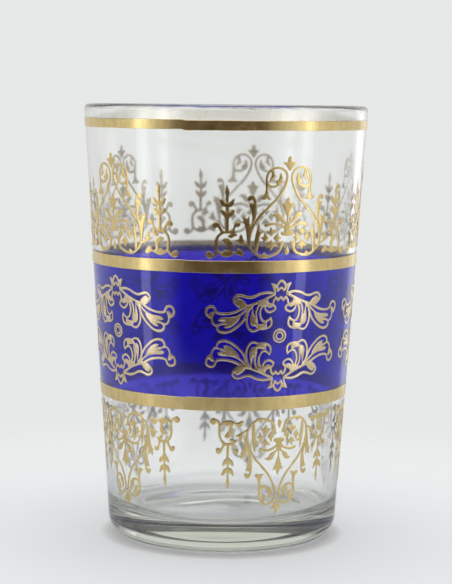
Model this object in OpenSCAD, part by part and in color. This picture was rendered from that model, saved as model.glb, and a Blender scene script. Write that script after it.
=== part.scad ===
// Tea glass: a conical tumbler of clear glass with a heavy base, a fired band of blue
// enamel, and gold lines, crests, sprays and pendants printed round the outside.
// Millimetres. +Z is up, the origin is on the table under the middle of the foot, and
// turns are measured from the front, -Y, towards +X.

/* [Glass] */
// Height from the table to the rim
glass_h = 89; // [84:0.5:100]
// Diameter of the outside wall, carried up to the height of the rim
rim_d = 58.5; // [54:0.1:66]
// Diameter of the outside wall, carried down to the table past the rounded heel
foot_d = 47; // [42:0.1:52]
// Thickness of the wall, which the rim rounds over
wall_t = 1.9; // [1.4:0.05:3]
// Height of the floor of the drinking well above the table
well_floor_z = 6.2; // [4.5:0.1:12]
// Radius of the rounded corner round the floor of the well
well_r = 3; // [1:0.1:8]
// Radius of the rounded heel
heel_r = 3.5; // [2:0.1:6]
// Width of the flat ring that the glass stands on
foot_ring_w = 3; // [1.5:0.1:6]
// Rise of the hollow under the base
kick_h = 1.2; // [0.4:0.1:3]

/* [Bands] */
// Thickness of the blue enamel
enamel_t = 0.08; // [0.04:0.01:0.2]
// Thickness of the gold
gold_t = 0.1; // [0.04:0.01:0.2]
// Drop from the rim to the top edge of the rim band
rim_band_drop = 2.45; // [1.6:0.05:3.2]
// Width of the rim band
rim_band_w = 1.75; // [1:0.05:2.5]
// Drop from the rim to the top edge of the upper band
upper_band_drop = 29.6; // [28:0.1:34]
// Width of the upper band
upper_band_w = 2.4; // [1.6:0.1:4]
// Height of the bottom edge of the lower band above the table
lower_band_z = 29.8; // [28:0.1:34]
// Width of the lower band
lower_band_w = 2.65; // [1.6:0.1:4]
// Lap of a gold band over the edge of the enamel
band_lap = 0.8; // [0.4:0.1:1.2]

/* [Gold ornament] */
// Height that a crest or pendant is drawn to
scroll_h = 20; // [17:0.1:22]
// Space between neighbouring crests, at half the height of the glass
crest_space = 1.5; // [0.8:0.1:8]
// Space between neighbouring sprays, at half the height of the glass
spray_space = 2.65; // [1:0.05:8]
// Space between neighbouring pendants, at half the height of the glass
pendant_space = 2.8; // [1:0.1:8]
// Gap between the upper band and the foot of the crests
crest_gap = 0.3; // [0.2:0.05:3]
// Gap between the lower band and the head of the pendants
pendant_gap = 1.35; // [0.4:0.05:3]
// Width of a printed line
line_w = 0.46; // [0.34:0.02:0.6]
// Run of the gold past the edge of each drawn shape
ink_run = 0.02; // [0.01:0.01:0.04]
// Outside radius of the ring in the middle of a spray
ring_r = 1.42; // [1:0.02:1.8]
// Width of the groove that splits that ring in two
ring_groove_w = 0.16; // [0.12:0.02:0.3]

/* [Angle of the rows] */
// Angle of the first crest from the front, in degrees
crest_angle = 26.1; // [0:0.1:72]
// Angle of the first spray from the front, in degrees
spray_angle = 24.4; // [0:0.1:72]
// Angle of the first pendant from the front, in degrees
pendant_angle = 26.75; // [0:0.05:72]
// Extra angle left open at the seam, where the two ends of the print meet, in degrees
seam_angle = 8.2; // [0:0.1:20]

/* [Hidden] */
$fn = 180;

// The outside wall is a straight cone that leans out by this much
slope = (rim_d - foot_d) / 2 / glass_h;
lean = atan(slope);
function wall_r(z) = foot_d / 2 + slope * z;
mid_r = wall_r(glass_h / 2);

// Centres of the arcs that round the rim, the heel and the corner of the well
rim_r = wall_t / 2;
rim_z = glass_h - rim_r;
rim_x = wall_r(rim_z) - rim_r / cos(lean);
heel_x = wall_r(heel_r) - heel_r / cos(lean);
well_z = well_floor_z + well_r;
well_x = wall_r(well_z) - (wall_t + well_r) / cos(lean);

// The hollow under the base is part of a sphere, inside the standing ring
kick_edge = heel_x - foot_ring_w;
kick_r = (kick_edge * kick_edge + kick_h * kick_h) / (2 * kick_h);

// Heights of the bands and of the rows of ornament
upper_band_z = glass_h - upper_band_drop - upper_band_w;
lower_band_top = lower_band_z + lower_band_w;
enamel_h = upper_band_z - lower_band_top;
crest_z = upper_band_z + upper_band_w + crest_gap;
pendant_z = lower_band_z - pendant_gap;
spray_z = lower_band_top + enamel_h / 2;

// Five motifs share the turn that the seam leaves
motifs = 5;
pitch = (360 - seam_angle) / motifs;
function half_turn(space) = (pitch - space / mid_r * 180 / PI) / 2;

// Everything that cuts or covers another shape passes it by this much
overrun = 1;

// Half of a crest: [across, up] shares of its height, with the middle line at zero.
// The S-shaped stem runs from the lower volute to the upper one.
scroll_reach_share = 0.757;
stem_shares = [
    [0.048, 0.15], [0.06, 0.1], [0.1, 0.055], [0.165, 0.027], [0.24, 0.03], [0.305, 0.065],
    [0.352, 0.13], [0.37, 0.2], [0.36, 0.285], [0.322, 0.36], [0.262, 0.44], [0.188, 0.51],
    [0.12, 0.583], [0.07, 0.652], [0.036, 0.725], [0.03, 0.79], [0.055, 0.858], [0.11, 0.888],
    [0.165, 0.878], [0.207, 0.838], [0.223, 0.78], [0.205, 0.722], [0.16, 0.698], [0.12, 0.705]
];
arm_shares = [[0.015, 0.285], [0.06, 0.32], [0.13, 0.337], [0.212, 0.315]];
spire_shares = [[0.57, 0.62], [0.57, 0.27]];
side_scroll_shares = [
    [0.52, 0.268], [0.575, 0.276], [0.625, 0.263], [0.66, 0.225], [0.675, 0.16], [0.668, 0.1],
    [0.676, 0.055], [0.7, 0.025]
];
// Each line: its middle line, then its width at both ends as shares of the line width
scroll_line_shares = [
    [stem_shares, 1.15, 0.95],
    [arm_shares, 1.1, 0.8],
    [spire_shares, 0.75, 1.1],
    [side_scroll_shares, 1, 1.15]
];
finial_shares = [
    [-0.01, 1], [0.013, 0.99], [0.024, 0.948], [0.068, 0.936], [0.04, 0.91], [0.022, 0.88],
    [0.004, 0.85], [-0.01, 0.846]
];
volute_end_shares = [
    [0.025, 0.158], [0.06, 0.162], [0.09, 0.15], [0.085, 0.115], [0.07, 0.085], [0.045, 0.1]
];
bud_shares = [
    [0.148, 0.702], [0.138, 0.745], [0.112, 0.775], [0.095, 0.825], [0.07, 0.785], [0.07, 0.735],
    [0.11, 0.698]
];
inner_leaf_shares = [
    [0.155, 0.88], [0.15, 0.815], [0.13, 0.798], [0.16, 0.785], [0.198, 0.762], [0.188, 0.81],
    [0.2, 0.85]
];
trumpet_shares = [
    [0.21, 0.78], [0.206, 0.66], [0.198, 0.62], [0.172, 0.582], [0.225, 0.598], [0.27, 0.582],
    [0.25, 0.618], [0.238, 0.66], [0.232, 0.78]
];
curled_leaf_shares = [
    [0.33, 0.36], [0.314, 0.45], [0.314, 0.55], [0.336, 0.608], [0.366, 0.622], [0.392, 0.605],
    [0.392, 0.575], [0.37, 0.562], [0.35, 0.572], [0.35, 0.535], [0.38, 0.53], [0.356, 0.45],
    [0.365, 0.32]
];
forked_leaf_shares = [
    [0.36, 0.15], [0.39, 0.175], [0.412, 0.29], [0.44, 0.37], [0.424, 0.388], [0.428, 0.42],
    [0.405, 0.412], [0.392, 0.38], [0.375, 0.41], [0.368, 0.34], [0.355, 0.27]
];
side_lobe_shares = [[0.36, 0.115], [0.378, 0.158], [0.402, 0.164], [0.415, 0.14], [0.395, 0.115]];
spike_shares = [
    [0.285, 0.05], [0.314, 0.08], [0.32, 0.15], [0.302, 0.26], [0.275, 0.342], [0.262, 0.285],
    [0.23, 0.27], [0.268, 0.235], [0.29, 0.13]
];
petal_up_shares = [
    [0.158, 0.215], [0.108, 0.27], [0.146, 0.278], [0.162, 0.3], [0.178, 0.276], [0.215, 0.26]
];
petal_in_shares = [
    [0.14, 0.195], [0.112, 0.168], [0.085, 0.165], [0.055, 0.2], [0.08, 0.215], [0.092, 0.248]
];
petal_out_shares = [
    [0.175, 0.195], [0.22, 0.245], [0.23, 0.215], [0.252, 0.202], [0.236, 0.18], [0.235, 0.15]
];
petal_down_shares = [
    [0.158, 0.172], [0.11, 0.11], [0.145, 0.108], [0.165, 0.08], [0.18, 0.105], [0.21, 0.115]
];
upper_leaf_shares = [
    [0.015, 0.335], [0.05, 0.38], [0.08, 0.425], [0.115, 0.442], [0.16, 0.418], [0.12, 0.41],
    [0.07, 0.35]
];
tulip_shares = [
    [-0.01, 0.606], [0.004, 0.6], [0.02, 0.565], [0.06, 0.55], [0.034, 0.49], [0.018, 0.41],
    [0.018, 0.33], [0.03, 0.262], [0.06, 0.25], [0.055, 0.228], [-0.01, 0.225]
];
drop_shares = [[-0.01, 0.137], [0.004, 0.13], [0.024, 0.072], [0.02, 0.045], [-0.01, 0.036]];
spear_shares = [
    [0.57, 0.722], [0.584, 0.685], [0.59, 0.655], [0.578, 0.6], [0.562, 0.6], [0.55, 0.655],
    [0.556, 0.685]
];
high_leaves_shares = [
    [0.505, 0.588], [0.512, 0.545], [0.535, 0.515], [0.57, 0.502], [0.605, 0.515], [0.628, 0.545],
    [0.638, 0.588], [0.6, 0.562], [0.57, 0.545], [0.54, 0.562]
];
low_leaves_shares = [
    [0.512, 0.488], [0.527, 0.442], [0.57, 0.408], [0.613, 0.442], [0.63, 0.488], [0.59, 0.46],
    [0.57, 0.45], [0.55, 0.46]
];
inner_arm_shares = [
    [0.565, 0.288], [0.538, 0.295], [0.52, 0.335], [0.508, 0.362], [0.482, 0.373], [0.458, 0.352],
    [0.466, 0.324], [0.496, 0.322], [0.512, 0.265], [0.565, 0.265]
];
outer_arm_shares = [
    [0.575, 0.288], [0.607, 0.286], [0.628, 0.33], [0.64, 0.365], [0.667, 0.375], [0.694, 0.352],
    [0.686, 0.32], [0.654, 0.312], [0.632, 0.265], [0.6, 0.26]
];
ball_shares = [
    [0.757, 0.042], [0.748, 0.066], [0.725, 0.076], [0.702, 0.066], [0.695, 0.042],
    [0.7, 0.02], [0.722, 0.008], [0.746, 0.02]
];
arm_lobe_shares = [[0.47, 0.238], [0.505, 0.266], [0.54, 0.256], [0.558, 0.23], [0.52, 0.21]];
side_bud_shares = [
    [0.518, 0.15], [0.54, 0.19], [0.572, 0.205], [0.605, 0.195], [0.625, 0.168], [0.59, 0.162],
    [0.558, 0.12], [0.55, 0.075], [0.525, 0.07]
];
wave_leaf_shares = [
    [0.41, 0.03], [0.425, 0.065], [0.46, 0.11], [0.49, 0.076], [0.545, 0.076], [0.57, 0.102],
    [0.595, 0.083], [0.66, 0.11], [0.665, 0.062], [0.61, 0.025], [0.545, 0.028], [0.48, 0.056],
    [0.43, 0.035]
];
small_leaf_shares = [
    [0.442, 0.248], [0.466, 0.195], [0.492, 0.175], [0.46, 0.15], [0.42, 0.16], [0.425, 0.205]
];
scroll_leaf_shares = [
    finial_shares, volute_end_shares, bud_shares, inner_leaf_shares, trumpet_shares,
    curled_leaf_shares, forked_leaf_shares, side_lobe_shares, spike_shares,
    petal_up_shares, petal_in_shares, petal_out_shares, petal_down_shares,
    upper_leaf_shares, tulip_shares, drop_shares, spear_shares, high_leaves_shares,
    low_leaves_shares, inner_arm_shares, outer_arm_shares, ball_shares, arm_lobe_shares,
    side_bud_shares, wave_leaf_shares, small_leaf_shares
];

// A quarter of a spray: [across, up] shares of the height of the blue between its bands,
// with the middle of the ring at zero
spray_reach_share = 0.602;
crown_arch_shares = [[0.028, 0.368], [0.038, 0.395], [0.02, 0.432], [-0.006, 0.445]];
crown_base_shares = [[0.032, 0.37], [-0.006, 0.39]];
zigzag_shares = [[-0.006, 0.313], [0.024, 0.288], [0.044, 0.31], [0.058, 0.294], [0.07, 0.248]];
top_leaf_shares = [
    [0.056, 0.338], [0.1, 0.352], [0.15, 0.35], [0.256, 0.316], [0.3, 0.326], [0.345, 0.333],
    [0.374, 0.312], [0.374, 0.284], [0.32, 0.24]
];
under_leaf_shares = [[0.056, 0.336], [0.14, 0.296], [0.276, 0.248]];
thumb_shares = [
    [0.066, 0.252], [0.046, 0.23], [0.05, 0.211], [0.092, 0.194], [0.12, 0.207], [0.138, 0.246]
];
hook_shares = [
    [0.156, 0.25], [0.172, 0.2], [0.165, 0.152], [0.144, 0.124], [0.12, 0.12], [0.082, 0.146]
];
hook_back_shares = [[0.082, 0.148], [0.073, 0.11], [0.085, 0.077], [0.12, 0.062], [0.176, 0.066]];
petal_edge_shares = [[0.184, 0.256], [0.203, 0.2], [0.196, 0.13], [0.198, 0.088]];
petal_loop_shares = [
    [0.252, 0.244], [0.27, 0.19], [0.276, 0.13], [0.262, 0.078], [0.236, 0.05], [0.206, 0.047],
    [0.168, 0.064]
];
long_leaf_shares = [
    [0.276, 0.248], [0.34, 0.215], [0.4, 0.192], [0.46, 0.184], [0.505, 0.191], [0.523, 0.222],
    [0.54, 0.238], [0.564, 0.24], [0.586, 0.224], [0.592, 0.198], [0.584, 0.172], [0.564, 0.154]
];
leaf_end_shares = [[0.542, 0.178], [0.548, 0.14], [0.532, 0.1], [0.504, 0.088], [0.456, 0.11]];
leaf_belly_shares = [
    [0.502, 0.09], [0.502, 0.062], [0.48, 0.038], [0.436, 0.034], [0.39, 0.052], [0.34, 0.092],
    [0.3, 0.136], [0.276, 0.185], [0.26, 0.24]
];
leaf_rib_shares = [[0.268, 0.232], [0.35, 0.164]];
// Each line: its middle line, then its width at both ends as shares of the line width
spray_line_shares = [
    [crown_arch_shares, 0.95, 0.95],
    [crown_base_shares, 0.9, 0.9],
    [zigzag_shares, 0.9, 0.9],
    [top_leaf_shares, 1, 1],
    [under_leaf_shares, 0.95, 0.9],
    [thumb_shares, 0.9, 0.9],
    [hook_shares, 0.95, 0.7],
    [hook_back_shares, 0.7, 0.95],
    [petal_edge_shares, 0.8, 0.8],
    [petal_loop_shares, 0.9, 0.9],
    [long_leaf_shares, 0.95, 0.95],
    [leaf_end_shares, 0.95, 0.7],
    [leaf_belly_shares, 0.95, 0.95],
    [leaf_rib_shares, 0.75, 0.75]
];
crown_wing_shares = [
    [0.03, 0.406], [0.09, 0.428], [0.074, 0.392], [0.062, 0.356], [0.064, 0.336], [0.048, 0.334],
    [0.046, 0.36], [0.052, 0.384], [0.044, 0.396]
];
top_lobe_shares = [
    [0.268, 0.244], [0.29, 0.28], [0.34, 0.31], [0.362, 0.294], [0.36, 0.27], [0.324, 0.244],
    [0.3, 0.236]
];
hand_shares = [
    [0.11, 0.306], [0.15, 0.292], [0.19, 0.272], [0.186, 0.254], [0.144, 0.244], [0.124, 0.242],
    [0.1, 0.23], [0.072, 0.236], [0.064, 0.252], [0.096, 0.268], [0.11, 0.284]
];
hook_fill_shares = [
    [0.116, 0.124], [0.134, 0.106], [0.196, 0.098], [0.2, 0.08], [0.176, 0.06], [0.13, 0.06],
    [0.112, 0.085]
];
petal_fill_shares = [
    [0.228, 0.236], [0.242, 0.18], [0.248, 0.13], [0.224, 0.086], [0.204, 0.092], [0.198, 0.12],
    [0.206, 0.155], [0.222, 0.185]
];
knot_shares = [[0.224, 0.25], [0.256, 0.258], [0.288, 0.248], [0.27, 0.222], [0.24, 0.226]];
curl_fill_shares = [
    [0.528, 0.19], [0.545, 0.198], [0.572, 0.176], [0.566, 0.154], [0.55, 0.148], [0.538, 0.164]
];
palm_shares = [
    [0.324, 0.17], [0.344, 0.174], [0.416, 0.156], [0.484, 0.148], [0.5, 0.13], [0.48, 0.122],
    [0.436, 0.122], [0.488, 0.096], [0.46, 0.094], [0.432, 0.1], [0.452, 0.072], [0.424, 0.07],
    [0.38, 0.092], [0.336, 0.14]
];
spray_leaf_shares = [
    crown_wing_shares, top_lobe_shares, hand_shares, hook_fill_shares, petal_fill_shares,
    knot_shares, curl_fill_shares, palm_shares
];
ring_hole_share = 0.39;

// The outline of a line with a width at each end, drawn along a curve
function across(c, i) =
    let (d = c[min(i + 1, len(c) - 1)] - c[max(i - 1, 0)])
    [-d.y, d.x] / norm(d);
function line_edge(c, w0, w1, side) = [
    for (i = [0 : len(c) - 1])
        c[i] + across(c, i) * side * (w0 + (w1 - w0) * i / (len(c) - 1)) / 2
];
function reversed(p) = [for (i = [len(p) - 1 : -1 : 0]) p[i]];
function line_outline(c, w0, w1) = concat(line_edge(c, w0, w1, 1), reversed(line_edge(c, w0, w1, -1)));

// Flat drawing to wall: across becomes a turn about the axis, seen square on, and up a height
function laid(points, side, foot_z, rise, reach, turn) = [
    for (p = points)
        let (z = foot_z + rise * p.y)
        [wall_r(z) * sin(side * p.x / reach * turn), z]
];

// One quarter or half of a motif, drawn from its tables of lines and leaves
module motif_side(lines, leaves, size, side, foot_z, rise, reach, turn) {
    for (l = lines) {
        drawn = line_outline(l[0] * size, l[1] * line_w, l[2] * line_w);
        polygon(laid(drawn, side, foot_z, rise, reach, turn));
    }
    for (l = leaves) {
        polygon(laid(l * size, side, foot_z, rise, reach, turn));
    }
}

// A crest, which stands on its foot, or a pendant, which hangs from it
module scroll_print(foot_z, rise, turn) {
    reach = scroll_reach_share * scroll_h;
    offset(delta = ink_run)
        for (side = [-1, 1])
            motif_side(scroll_line_shares, scroll_leaf_shares, scroll_h, side, foot_z, rise, reach, turn);
}

// A spray, four alike quarters round a split ring
module spray_print() {
    reach = spray_reach_share * enamel_h;
    offset(delta = ink_run)
        for (side = [-1, 1], rise = [-1, 1])
            motif_side(spray_line_shares, spray_leaf_shares, enamel_h, side, spray_z, rise, reach,
                half_turn(spray_space));
    translate([0, spray_z])
        spray_ring();
}

module spray_ring() {
    hole_r = ring_r * ring_hole_share;
    groove_r = (ring_r + hole_r) / 2;
    difference() {
        circle(r = ring_r);
        circle(r = groove_r + ring_groove_w / 2);
    }
    difference() {
        circle(r = groove_r - ring_groove_w / 2);
        circle(r = hole_r);
    }
}

// A layer on the outside wall, in section, from one depth of coating to another
module skin_section(z0, z1, t0, t1) {
    in = t0 / cos(lean);
    out = t1 / cos(lean);
    polygon([
        [wall_r(z0) + in, z0], [wall_r(z0) + out, z0],
        [wall_r(z1) + out, z1], [wall_r(z1) + in, z1]
    ]);
}

// A gold band in section, which starts over the enamel and steps down to the glass
module lapped_section(z0, rise, w) {
    low = enamel_t / cos(lean);
    high = (enamel_t + gold_t) / cos(lean);
    thin = gold_t / cos(lean);
    zl = z0 + rise * band_lap;
    zs = zl + rise * gold_t;
    z1 = z0 + rise * w;
    polygon([
        [wall_r(z0) + low, z0], [wall_r(z0) + high, z0], [wall_r(zs) + high, zs],
        [wall_r(zs) + thin, zs], [wall_r(z1) + thin, z1], [wall_r(z1), z1],
        [wall_r(zl), zl], [wall_r(zl) + low, zl]
    ]);
}

// A flat print wrapped on the wall: the drawing is run through the wall and only its skin is kept
module printed(turn, half, z0, z1, t0, t1) {
    sweep = 2 * half + pitch / motifs;
    rotate([0, 0, turn])
        intersection() {
            rotate([0, 0, -90 - sweep / 2])
                rotate_extrude(angle = sweep)
                    skin_section(z0, z1, t0, t1);
            rotate([90, 0, 0])
                linear_extrude(height = rim_d)
                    children();
        }
}

module glass_outside() {
    polygon([
        [0, 0], [heel_x, 0],
        [heel_x + heel_r * cos(lean), heel_r - heel_r * sin(lean)],
        [rim_x + rim_r * cos(lean), rim_z - rim_r * sin(lean)],
        [rim_x - rim_r * cos(lean), rim_z + rim_r * sin(lean)],
        [0, rim_z + rim_r * sin(lean)]
    ]);
    translate([heel_x, heel_r])
        circle(r = heel_r);
    translate([rim_x, rim_z])
        circle(r = rim_r);
}

module glass_well() {
    top_z = rim_z + rim_r * sin(lean);
    polygon([
        [0, well_floor_z], [well_x, well_floor_z],
        [well_x + well_r * cos(lean), well_z - well_r * sin(lean)],
        [rim_x - rim_r * cos(lean), top_z],
        [rim_x - rim_r * cos(lean), top_z + overrun],
        [0, top_z + overrun]
    ]);
    translate([well_x, well_z])
        circle(r = well_r);
}

module glass_body() {
    color([0.9, 0.93, 0.92, 0.35])
        rotate_extrude()
            difference() {
                glass_outside();
                glass_well();
                translate([0, kick_h - kick_r])
                    circle(r = kick_r);
            }
}

module blue_band() {
    color([0.14, 0.1, 0.62, 0.85])
        rotate_extrude()
            skin_section(lower_band_top - band_lap, upper_band_z + band_lap, 0, enamel_t);
}

module rim_gold_band() {
    top_z = glass_h - rim_band_drop;
    color([0.78, 0.66, 0.38])
        rotate_extrude()
            skin_section(top_z - rim_band_w, top_z, 0, gold_t);
}

module upper_gold_band() {
    color([0.78, 0.66, 0.38])
        rotate_extrude()
            lapped_section(upper_band_z, 1, upper_band_w);
}

module lower_gold_band() {
    color([0.78, 0.66, 0.38])
        rotate_extrude()
            lapped_section(lower_band_top, -1, lower_band_w);
}

module gold_crest(i) {
    color([0.78, 0.66, 0.38])
        printed(crest_angle + i * pitch, half_turn(crest_space), crest_z - overrun,
            crest_z + scroll_h + overrun, 0, gold_t)
            scroll_print(crest_z, 1, half_turn(crest_space));
}

module gold_spray(i) {
    color([0.78, 0.66, 0.38])
        printed(spray_angle + i * pitch, half_turn(spray_space), lower_band_top, upper_band_z,
            enamel_t, enamel_t + gold_t)
            spray_print();
}

module gold_pendant(i) {
    color([0.78, 0.66, 0.38])
        printed(pendant_angle + i * pitch, half_turn(pendant_space), pendant_z - scroll_h - overrun,
            pendant_z + overrun, 0, gold_t)
            scroll_print(pendant_z, -1, half_turn(pendant_space));
}

glass_body();
blue_band();
rim_gold_band();
upper_gold_band();
lower_gold_band();
gold_crest(0);  // gold_crest_1
gold_crest(1);  // gold_crest_2
gold_crest(2);  // gold_crest_3
gold_crest(3);  // gold_crest_4
gold_crest(4);  // gold_crest_5
gold_spray(0);  // gold_spray_1
gold_spray(1);  // gold_spray_2
gold_spray(2);  // gold_spray_3
gold_spray(3);  // gold_spray_4
gold_spray(4);  // gold_spray_5
gold_pendant(0);  // gold_pendant_1
gold_pendant(1);  // gold_pendant_2
gold_pendant(2);  // gold_pendant_3
gold_pendant(3);  // gold_pendant_4
gold_pendant(4);  // gold_pendant_5
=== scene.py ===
import math

import bpy
import numpy as np
from mathutils import Matrix, Vector
from mathutils.geometry import delaunay_2d_cdt


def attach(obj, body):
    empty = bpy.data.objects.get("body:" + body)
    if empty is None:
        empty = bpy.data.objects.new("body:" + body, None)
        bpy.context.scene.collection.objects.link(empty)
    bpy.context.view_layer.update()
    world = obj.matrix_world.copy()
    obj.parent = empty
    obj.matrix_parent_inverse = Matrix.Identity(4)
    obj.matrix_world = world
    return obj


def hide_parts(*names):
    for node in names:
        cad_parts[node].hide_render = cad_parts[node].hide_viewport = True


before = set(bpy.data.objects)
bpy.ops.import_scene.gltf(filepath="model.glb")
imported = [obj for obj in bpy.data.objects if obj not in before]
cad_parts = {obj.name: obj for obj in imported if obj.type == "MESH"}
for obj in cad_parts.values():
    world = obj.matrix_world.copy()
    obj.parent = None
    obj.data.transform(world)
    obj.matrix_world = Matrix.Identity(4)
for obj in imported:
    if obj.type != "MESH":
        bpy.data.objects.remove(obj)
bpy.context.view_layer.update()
print("frame loaded:", len(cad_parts), "nodes")

scene = bpy.context.scene
scene.view_settings.view_transform = "Standard"
scene.cycles.max_bounces = 40  # a ray through the enamelled glass meets many faces
scene.cycles.transmission_bounces = 40
scene.cycles.glossy_bounces = 12
scene.cycles.transparent_max_bounces = 24
scene.cycles.caustics_refractive = True  # the backs of the coats are lit through the glass
scene.cycles.caustics_reflective = False
metre = 0.001  # the script draws in millimetres
tiny = 1e-12
fullTurn = 2 * math.pi


# The tumbler: a straight cone, so every coat follows wallRadius

tumbler = {
    "height": 89.4,
    "rimAcross": 58.55,  # the wall carried up to the rim
    "footAcross": 47.0,  # the wall carried down to the table
    "wall": 1.9,
    "wellFloor": 6.2,
    "wellCorner": 3.0,
    "heel": 4.2,
    "standRing": 2.2,
    "kick": 1.6,  # depth of the hollow underneath
    "hub": 0.4,  # the rows end at this radius, round a middle point
    "around": 384,
    "steps": {"hollow": 22, "ring": 4, "heel": 20, "wall": 44, "rim": 26, "corner": 22, "floor": 24},
    "wallWave": 0.035,  # unevenness of the pressed inside
    "floorWave": 0.07,
    "cornerWave": 0.3,
    # seed, how many, the slowest and the fastest of each set of waves
    "waves": {"wall": (5, 6, 0.02, 0.12), "floor": (11, 5, 0.0, 0.01), "corner": (23, 5, 0.0, 0.01)},
    "evenRim": (3.0, 10.0),  # the waves start this far below the rim, and take so long to grow
    "cornerReach": 7.0,  # and those of the corner end this far above the well's floor
    # they grow outward from the first radius, over the second length
    "evenMiddle": {"wall": (8.0, 8.0), "floor": (0.0, 12.0), "corner": (0.0, 19.0)},
    "floorSpread": 4.0,  # how much wider those on the floor are
}
slope = (tumbler["rimAcross"] - tumbler["footAcross"]) / 2 / tumbler["height"]
lean = math.atan(slope)


def wallRadius(z):
    return tumbler["footAcross"] / 2 + slope * z


def onWall(angle, z, lift):
    # angle runs from the front, -Y, towards +X; lift is square to the wall
    r = wallRadius(z) + lift * math.cos(lean)
    z = z - lift * math.sin(lean)
    return np.stack([r * np.sin(angle), -r * np.cos(angle), z], -1)


def wallNormal(angle):
    c, s = math.cos(lean), math.sin(lean)
    return np.stack([c * np.sin(angle), -c * np.cos(angle), np.full_like(angle, -s)], -1)


def arc(cx, cz, r, start, end, count):
    a = np.radians(np.linspace(start, end, count))
    return [(cx + r * math.cos(t), cz + r * math.sin(t)) for t in a]


def addPiece(name, verts, faces, materials, slots=None, normals=None):
    mesh = bpy.data.meshes.new(name)
    mesh.from_pydata([tuple(v) for v in np.asarray(verts) * metre], [], faces)
    for m in materials:
        mesh.materials.append(m)
    if slots is not None:
        mesh.polygons.foreach_set("material_index", np.asarray(slots, np.int32))
    mesh.polygons.foreach_set("use_smooth", np.ones(len(mesh.polygons), bool))
    if normals is not None:
        mesh.normals_split_custom_set([tuple(n) for n in normals])
    mesh.update()
    piece = bpy.data.objects.new(name, mesh)
    scene.collection.objects.link(piece)
    return piece


def seat(piece, node):
    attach(piece, "root")
    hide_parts(node)


# Materials

def addNode(tree, kind, given=(), **settings):
    # given: what each input gets, in turn or by label; a socket is linked, a value is set
    n = tree.nodes.new("ShaderNode" + kind)
    for label, value in settings.items():
        setattr(n, label, value)
    for label, value in given.items() if isinstance(given, dict) else enumerate(given):
        if isinstance(value, bpy.types.NodeSocket):
            tree.links.new(value, n.inputs[label])
        else:
            n.inputs[label].default_value = value
    return n


def mathNode(tree, operation, *given):
    return addNode(tree, "Math", given, operation=operation).outputs[0]


def vectorNode(tree, operation, *given):
    n = addNode(tree, "VectorMath", given, operation=operation)
    return n.outputs["Value" if operation in ("LENGTH", "DOT_PRODUCT") else "Vector"]


def noiseNode(tree, place, scale, detail, distortion=0.0):
    return addNode(tree, "TexNoise", {"Vector": place, "Scale": scale, "Detail": detail, "Roughness": 0.55,
                                      "Distortion": distortion}).outputs["Fac"]


def easeNode(tree, value, edges, to=(0.0, 1.0)):
    # eases from the first of to to the second, between the edges
    n = addNode(tree, "MapRange", {"Value": value, "From Min": edges[0], "From Max": edges[1],
                                   "To Min": to[0], "To Max": to[1]}, interpolation_type="SMOOTHSTEP")
    return n.outputs["Result"]


def mixColour(tree, factor, a, b):
    return addNode(tree, "Mix", {"Factor": factor, 6: a, 7: b}, data_type="RGBA").outputs[2]


def inMetres(lengths):
    return [v * metre for v in lengths]


def newGroup(name, inputs, outputs):
    group = bpy.data.node_groups.new(name, "ShaderNodeTree")
    for label, kind, value in inputs:
        s = group.interface.new_socket(label, in_out="INPUT", socket_type="NodeSocket" + kind)
        s.default_value = value
    for label, kind in outputs:
        group.interface.new_socket(label, in_out="OUTPUT", socket_type="NodeSocket" + kind)
    given, out = group.nodes.new("NodeGroupInput"), group.nodes.new("NodeGroupOutput")
    return group, given.outputs, out.inputs


def makeMottle():
    # cloudy change of colour, coarse clouds with a finer grain in them
    group, given, out = newGroup(
        "cloudyTint",
        [("Main", "Color", (1, 1, 1, 1)), ("Cloud", "Color", (1, 1, 1, 1)), ("Cloud Scale", "Float", 200.0),
         ("Grain Scale", "Float", 1500.0), ("Stretch", "Vector", (1.0, 1.0, 1.0)), ("Amount", "Float", 0.5)],
        [("Colour", "Color"), ("Mask", "Float")])
    place = addNode(group, "TexCoord").outputs["Object"]
    pulled = vectorNode(group, "MULTIPLY", place, given["Stretch"])
    clouds = noiseNode(group, pulled, given["Cloud Scale"], 3.0)
    grain = noiseNode(group, pulled, given["Grain Scale"], 2.0)
    both = mathNode(group, "MULTIPLY_ADD", grain, 0.35, clouds)
    amount = mathNode(group, "MULTIPLY", easeNode(group, both, (0.5, 0.85)), given["Amount"])
    group.links.new(mixColour(group, amount, given["Main"], given["Cloud"]), out["Colour"])
    group.links.new(amount, out["Mask"])
    return group


def makeHandled():
    # smears that dull the gloss, and the fine ripple of a fired or pressed face
    group, given, out = newGroup(
        "handledFace",
        [("Smear Scale", "Float", 90.0), ("Ripple Scale", "Float", 300.0), ("Glossy", "Float", 0.05),
         ("Dull", "Float", 0.2)],
        [("Roughness", "Float"), ("Height", "Float")])
    place = addNode(group, "TexCoord").outputs["Object"]
    smears = noiseNode(group, place, given["Smear Scale"], 4.0, 0.6)
    ripple = noiseNode(group, place, given["Ripple Scale"], 1.5)
    spread = easeNode(group, smears, (0.35, 0.7), (given["Glossy"], given["Dull"]))
    group.links.new(spread, out["Roughness"])
    group.links.new(ripple, out["Height"])
    return group


mottle = makeMottle()
handled = makeHandled()


def insideMask(tree):
    # 1 on the well and the underside, 0 on the outside wall and the rim
    place = addNode(tree, "TexCoord").outputs["Object"]
    height = addNode(tree, "SeparateXYZ", (place,)).outputs["Z"]
    away = vectorNode(tree, "LENGTH", vectorNode(tree, "MULTIPLY", place, (1, 1, 0)))
    cone = mathNode(tree, "MULTIPLY_ADD", height, -slope, away)
    middle = (tumbler["footAcross"] - tumbler["wall"]) / 2
    soft = 0.2
    return easeNode(tree, cone, inMetres((middle - soft, middle + soft)), (1.0, 0.0))


def newMaterial(name):
    mat = bpy.data.materials.new(name)
    mat.use_nodes = True
    return mat, mat.node_tree, mat.node_tree.nodes["Principled BSDF"]


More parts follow.
